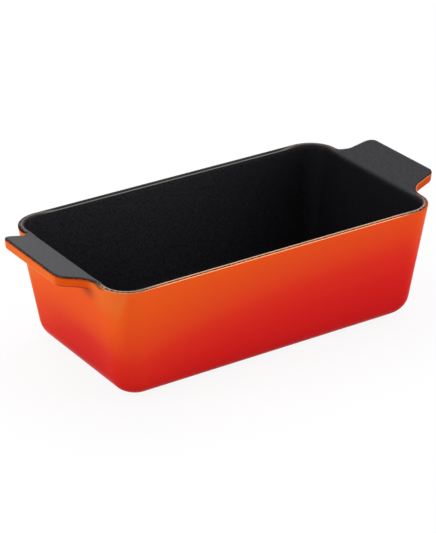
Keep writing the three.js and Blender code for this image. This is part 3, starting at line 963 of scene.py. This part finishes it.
# %% Camera
AZIMUTH, ELEVATION, ROLL = math.radians(-32.536), math.radians(25.587), math.radians(-0.738)
DISTANCE, SIDE_STEP, RISE = 1448.8 * MM, -5.13 * MM, 36.54 * MM
IMAGE_HEIGHT, FOCAL_PIXELS, SENSOR = 533, 2263.4, 36.0
CLIP_START, CLIP_END = 0.01, 20
back = Vector((math.sin(AZIMUTH) * math.cos(ELEVATION), -math.cos(AZIMUTH) * math.cos(ELEVATION),
               math.sin(ELEVATION)))
level = Vector((math.cos(AZIMUTH), math.sin(AZIMUTH), 0))
upright = back.cross(level)
right = level * math.cos(ROLL) + upright * math.sin(ROLL)
up = upright * math.cos(ROLL) - level * math.sin(ROLL)
camera_data = bpy.data.cameras.new("camera")
camera_data.sensor_width = SENSOR
camera_data.lens = SENSOR * FOCAL_PIXELS / IMAGE_HEIGHT
camera_data.clip_start, camera_data.clip_end = CLIP_START, CLIP_END
camera = bpy.data.objects.new("camera", camera_data)
bpy.context.collection.objects.link(camera)
camera.matrix_world = Matrix.LocRotScale(
    back * DISTANCE + right * SIDE_STEP + up * RISE, Matrix((right, up, back)).transposed(), None)
bpy.context.scene.camera = camera
print("lens in mm:", round(camera_data.lens, 1))

# %% [markdown]
# The pan stands on white paper, and the photograph's background is pure white. Paper that is lit until it is
# white would throw too much light up on the pan. So the paper is plain where it gives light, and where the
# camera, a gloss or a glass looks at it, it is mixed with a white glow. A tenth of its own shading stays,
# which is the soft contact shadow of the pan.

# %% Floor
PAPER_METRES, WHITENING = 6.0, 0.9


def looked_at(owner):
    """Whether a ray comes from the camera, a gloss or a glass."""
    path = add(owner, "ShaderNodeLightPath")
    seen = calculate(owner, "MAXIMUM", path.outputs["Is Camera Ray"], path.outputs["Is Glossy Ray"])
    return calculate(owner, "MAXIMUM", seen, path.outputs["Is Transmission Ray"])


begin()
bpy.ops.mesh.primitive_plane_add(size=PAPER_METRES)
floor = bpy.context.object
floor.name = "floor"
paper, paper_surface = finish_for(floor, "white paper", Roughness=0.9, Base_Color=srgb("EAEAEA"))
glow = add(paper, "ShaderNodeEmission", [("Color", srgb("FFFFFF")), ("Strength", 1.0)])
whiten = add(paper, "ShaderNodeMixShader", [
    (0, product(paper, looked_at(paper), WHITENING)), (1, paper_surface), (2, glow)])
paper.node_tree.links.new(whiten.outputs[0], paper.node_tree.nodes["Material Output"].inputs["Surface"])
print("the floor is whitened by", WHITENING)

# %% [markdown]
# The light is a soft studio in a pale room. To the camera and in reflections the room is pure white, as the
# photograph's background is, but it gives less light than that, so that the softboxes can shape the pan.

# %% The room
ROOM = 0.62
world = bpy.data.worlds.new("studio")
bpy.context.scene.world = world
world.use_nodes = True
room = world.node_tree.nodes["Background"]
room.inputs["Color"].default_value = srgb("FFFFFF")
strength = add(world, "ShaderNodeMapRange", [("Value", looked_at(world)), ("To Min", ROOM), ("To Max", 1.0)])
world.node_tree.links.new(strength.outputs[0], room.inputs["Strength"])
bpy.context.scene.view_settings.view_transform = "Standard"
print("the room lights with", ROOM, "of its white")

# %% [markdown]
# The softbox overhead lights the paper and the rim. One on the left and one at the front light a wall each
# and leave the corner between them a little darker. A weak one low at the back gives the handles' satin tops
# their sheen.


# %% The softboxes
def softbox(name, place, size, watts):
    """A square softbox that faces the pan, with its place and size in metres."""
    data = bpy.data.lights.new(name, "AREA")
    data.energy, data.size = watts, size
    lamp = bpy.data.objects.new(name, data)
    bpy.context.collection.objects.link(lamp)
    lamp.location = place
    lamp.rotation_euler = (-Vector(place)).to_track_quat("-Z", "Y").to_euler()
    print(name, "watts:", watts)


softbox("overhead softbox", (0.1, 0.25, 1.1), size=1.0, watts=8.5)
softbox("left softbox", (-1.25, 0.3, 0.62), size=0.8, watts=4.7)
softbox("rear softbox", (1.15, 1.55, 0.6), size=0.7, watts=0.9)
softbox("front softbox", (0.85, -1.05, 0.45), size=0.8, watts=3.9)

# %% [markdown]
# Each piece takes the place of its part of the CAD model. Nothing on the pan moves, so all the pieces ride on
# the root, and whoever moves the frame moves them with it.

# %% Riding on the frame
for piece, node, slot in (
    (casting, "iron_casting", "grey_cast_iron"),
    (ground_coat, "outer_ground_coat", "dark_ground_enamel"),
    (flame_coat, "flame_colour_enamel", "flame_gloss_enamel"),
    (black_lining, "black_lining_enamel", "black_satin_enamel"),
):
    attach(piece, "root")
    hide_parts(node)
    print(piece.name, "rides as", node)
